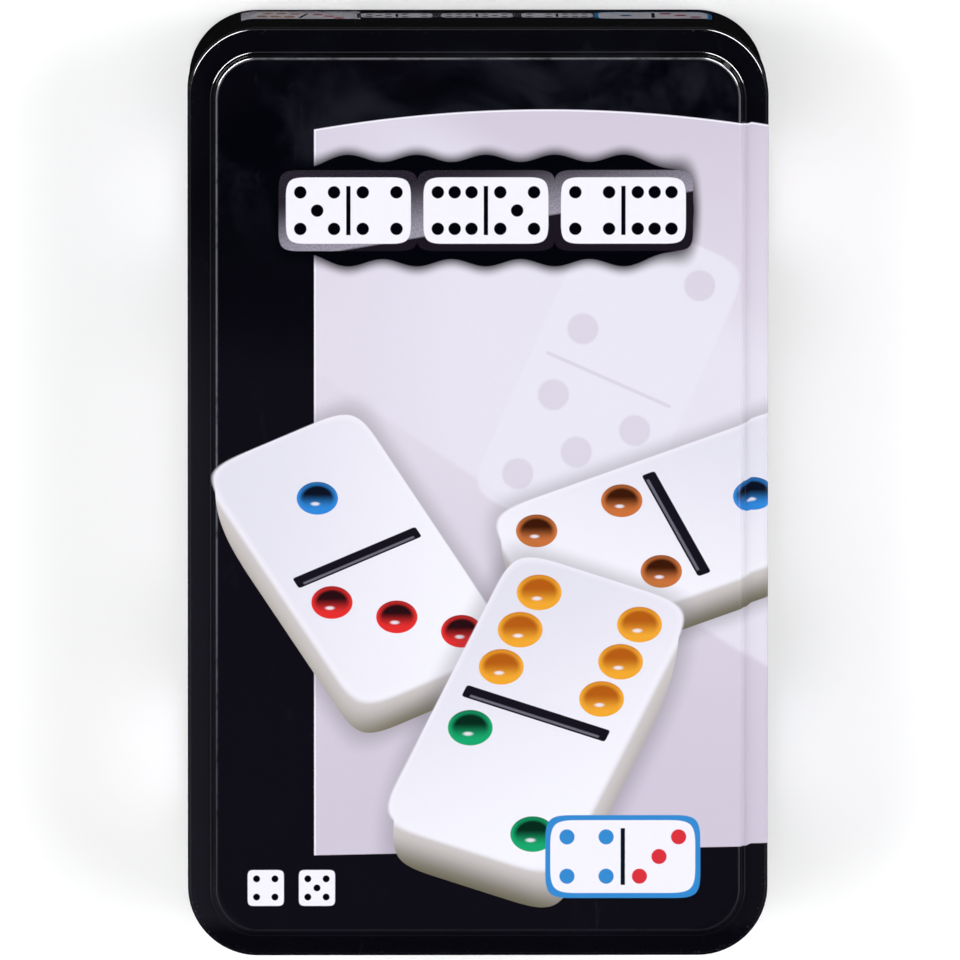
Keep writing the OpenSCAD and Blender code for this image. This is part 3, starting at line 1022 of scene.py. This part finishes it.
def tray_material():
    g = Graph("tray_formed_sheet")
    p = g.coords()
    grain = g.noise(p, 2.6, 3.0, 0.6)
    cloud = g.noise(p, 0.05, 3.0, 0.5, 0.3)
    rub = g.step(g.noise(g.scale(p, (1.0, 0.12, 1.0)), 0.35, 4.0, 0.65), 0.60, 0.78)
    base = g.mix(g.step(cloud, 0.3, 0.7), srgb("131215"), srgb("1c1b1f"))
    base = g.mix(rub * 0.3, base, srgb("34333a"))
    rough = g.math("MULTIPLY_ADD", rub, -0.10, g.math("MULTIPLY_ADD", grain, 0.16, 0.44))
    g.set(
        Base_Color=base,
        Roughness=rough,
        IOR=1.46,
        Specular_IOR_Level=0.3,
        Normal=g.bump(g.math("MULTIPLY_ADD", grain, 0.35, cloud * 2.0), 0.35, 0.12),
    )
    return g.mat


def leaflet_material():
    g = Graph("leaflet_paper")
    p = g.coords()
    x, y, z = g.split(p)
    fibre = g.noise(g.scale(p, (1.0, 1.0, 0.2)), 3.5, 4.0, 0.7)
    cloud = g.noise(p, 0.08, 3.0, 0.5)
    base = g.mix(g.step(cloud, 0.3, 0.7), srgb("f1efe9"), srgb("e7e4dc"))
    base = g.mix(g.step(fibre, 0.5, 0.8) * 0.2, base, srgb("d5d1c7"))
    # grey rules in two columns, with a small diagram of tiles above them
    line = g.math("PINGPONG", y, 2.2)
    ragged = g.noise(g.scale(p, (0.0, 0.4545, 0.0)), 1.0, 0.0)
    cx = abs(x) - 21.0
    column = g.inside(abs(cx) - g.math("MULTIPLY_ADD", ragged, 3.0, 15.5), 0.1) * g.inside(abs(y + 12.0) - 50.0, 0.1)
    rows = g.inside(line - 0.38, 0.1) * column
    base = g.mix(rows * 0.62, base, srgb("77757c"))
    face = srgb("fbfaf7")
    ink = srgb("3a3840")
    base = flat_tile(g, base, x, y, (-18.0, 54.0), 0.0, 13.0, 6.5, (5, 2), (ink, ink), face=face, edge=ink)
    base = flat_tile(g, base, x, y, (18.0, 54.0), 90.0, 8.0, 4.0, (2, 4), (ink, ink), face=face, edge=ink)
    # a little darker towards the sheet's -x edge, from x = -43 outwards
    toward_minus_x_edge = g.step(x, -43.0, -46.8)
    g.set(
        Base_Color=g.mix(toward_minus_x_edge * 0.12, base, srgb("cfcac0")),
        Roughness=g.math("MULTIPLY_ADD", fibre, 0.15, 0.62),
        Normal=g.bump(g.math("MULTIPLY_ADD", cloud, 2.0, fibre), 0.4, 0.06),
    )
    return g.mat


def repaint(node, material):
    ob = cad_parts[node]
    if ob.material_slots:
        for s in ob.material_slots:
            s.material = material
    else:
        ob.data.materials.append(material)


# ---------------------------------------------------------------- scene

make_lid()
make_wall()
tiles = tile_materials()
for a in range(7):
    for b in range(a, 7):
        make_tile(a, b, tiles)
repaint("tray", tray_material())
repaint("rules_leaflet", leaflet_material())
repaint("bottom_panel", tin_material("bottom_tin", tint="c6c4c1"))

# floor
g = Graph("studio_floor")
p = g.coords()
soft = g.noise(p, 0.004, 3.0, 0.5)
g.set(
    Base_Color=g.mix(g.step(soft, 0.3, 0.7), (0.93, 0.93, 0.932, 1), (0.92, 0.92, 0.922, 1)),
    Roughness=0.85,
    Emission_Color=(1, 1, 1, 1),
    Emission_Strength=0.13,
    Normal=g.bump(g.noise(p, 0.8, 2.0), 0.03, 0.1),
)
me = bpy.data.meshes.new("studio_floor")
n = 48
me.from_pydata([(30 * math.cos(2 * math.pi * i / n), 30 * math.sin(2 * math.pi * i / n), 0) for i in range(n)], [], [tuple(range(n))])
me.materials.append(g.mat)
floor = bpy.data.objects.new("studio_floor", me)
bpy.context.scene.collection.objects.link(floor)
floor.visible_glossy = False  # so the tin mirrors the studio, with no white edge where it meets the floor

# soft light all round, dim straight above, so that the flat gloss stays dark
world = bpy.data.worlds.new("studio")
bpy.context.scene.world = world
world.use_nodes = True
tree = world.node_tree
tree.nodes.clear()
wout = tree.nodes.new("ShaderNodeOutputWorld")
back = tree.nodes.new("ShaderNodeBackground")
plain = tree.nodes.new("ShaderNodeBackground")  # what shows past the floor's edge in a low view
plain.inputs["Color"].default_value = (1, 1, 1, 1)
seen = tree.nodes.new("ShaderNodeLightPath")
pick = tree.nodes.new("ShaderNodeMixShader")
tree.links.new(seen.outputs["Is Camera Ray"], pick.inputs[0])
tree.links.new(back.outputs[0], pick.inputs[1])
tree.links.new(plain.outputs[0], pick.inputs[2])
tree.links.new(pick.outputs[0], wout.inputs[0])
coord = tree.nodes.new("ShaderNodeTexCoord")
sep = tree.nodes.new("ShaderNodeSeparateXYZ")
tree.links.new(coord.outputs["Generated"], sep.inputs[0])


def ramp(source, a, b, lo, hi):
    n = tree.nodes.new("ShaderNodeMapRange")
    n.interpolation_type = "SMOOTHSTEP"
    for k, v in enumerate((a, b, lo, hi)):
        n.inputs[k + 1].default_value = v
    tree.links.new(source, n.inputs[0])
    return n.outputs[0]


def times(a, b):
    n = tree.nodes.new("ShaderNodeMath")
    n.operation = "MULTIPLY"
    tree.links.new(a, n.inputs[0])
    tree.links.new(b, n.inputs[1])
    return n.outputs[0]


# pale ground, a dim horizon, and a bright band halfway up
ground = ramp(sep.outputs[2], -0.92, -0.30, 0.008, 0.42)
horizon = ramp(sep.outputs[2], -0.12, 0.0, 1.0, 0.12)
level = ramp(sep.outputs[1], 0.30, 0.80, 1.0, 0.35)
band = ramp(sep.outputs[2], 0.52, 0.70, 1.0, 26.0)
above = ramp(sep.outputs[2], 0.74, 0.92, 1.0, 0.002)
ahead = ramp(sep.outputs[1], -0.55, 0.60, 0.07, 1.0)
tree.links.new(times(times(times(ground, horizon), times(band, above)), times(ahead, level)), back.inputs["Strength"])
back.inputs["Color"].default_value = (0.97, 0.985, 1.0, 1)


def softbox(name, azimuth, elevation, width, tall, radiance, distance=1.6):
    """A soft light that shows as a highlight in gloss, seen from the box at that azimuth from +X and elevation. radiance is its brightness as seen."""
    a, e = math.radians(azimuth), math.radians(elevation)
    lamp = bpy.data.lights.new(name, "AREA")
    lamp.shape = "RECTANGLE"
    lamp.size, lamp.size_y = width, tall
    lamp.energy = radiance * math.pi * width * tall
    ob = bpy.data.objects.new(name, lamp)
    ob.location = (
        distance * math.cos(a) * math.cos(e),
        distance * math.sin(a) * math.cos(e),
        distance * math.sin(e),
    )
    ob.rotation_euler = (Vector((0, 0, 0.03)) - ob.location).to_track_quat("-Z", "Y").to_euler()
    bpy.context.scene.collection.objects.link(ob)
    ob.visible_camera = False
    ob.visible_diffuse = False
    return ob


softbox("back_right", 46, 46, 1.25, 0.42, 32.0)
softbox("back_left", 134, 46, 1.25, 0.42, 32.0)


def sun(name, towards, strength, degrees):
    """Wide soft light that falls along towards and doesn't show as a highlight."""
    lamp = bpy.data.lights.new(name, "SUN")
    lamp.energy, lamp.angle = strength, math.radians(degrees)
    ob = bpy.data.objects.new(name, lamp)
    ob.rotation_euler = Vector(towards).to_track_quat("-Z", "Y").to_euler()
    bpy.context.scene.collection.objects.link(ob)
    ob.visible_camera = False
    ob.visible_glossy = False


sun("key", (0.15, 0.60, -1.0), 1.12, 60)
sun("fill_right", (-1.0, 0.10, -0.62), 1.95, 50)
sun("fill_left", (1.0, 0.10, -0.62), 1.95, 50)

cam = bpy.data.cameras.new("camera")
cam.lens = 1266.0
cam.sensor_width = 36
cam.clip_start, cam.clip_end = 0.1, 40
cob = bpy.data.objects.new("camera", cam)
right = Vector((0.999947, 0.000489, 0.010264)).normalized()
up = Vector((0.000758, 0.992634, -0.121149)).normalized()
behind = right.cross(up).normalized()
cob.matrix_world = Matrix(
    [
        (right.x, up.x, behind.x, -0.071105),
        (right.y, up.y, behind.y, 0.848140),
        (right.z, up.z, behind.z, 6.966065),
        (0, 0, 0, 1),
    ]
)
bpy.context.scene.collection.objects.link(cob)
bpy.context.scene.camera = cob
bpy.context.scene.view_settings.view_transform = "Standard"
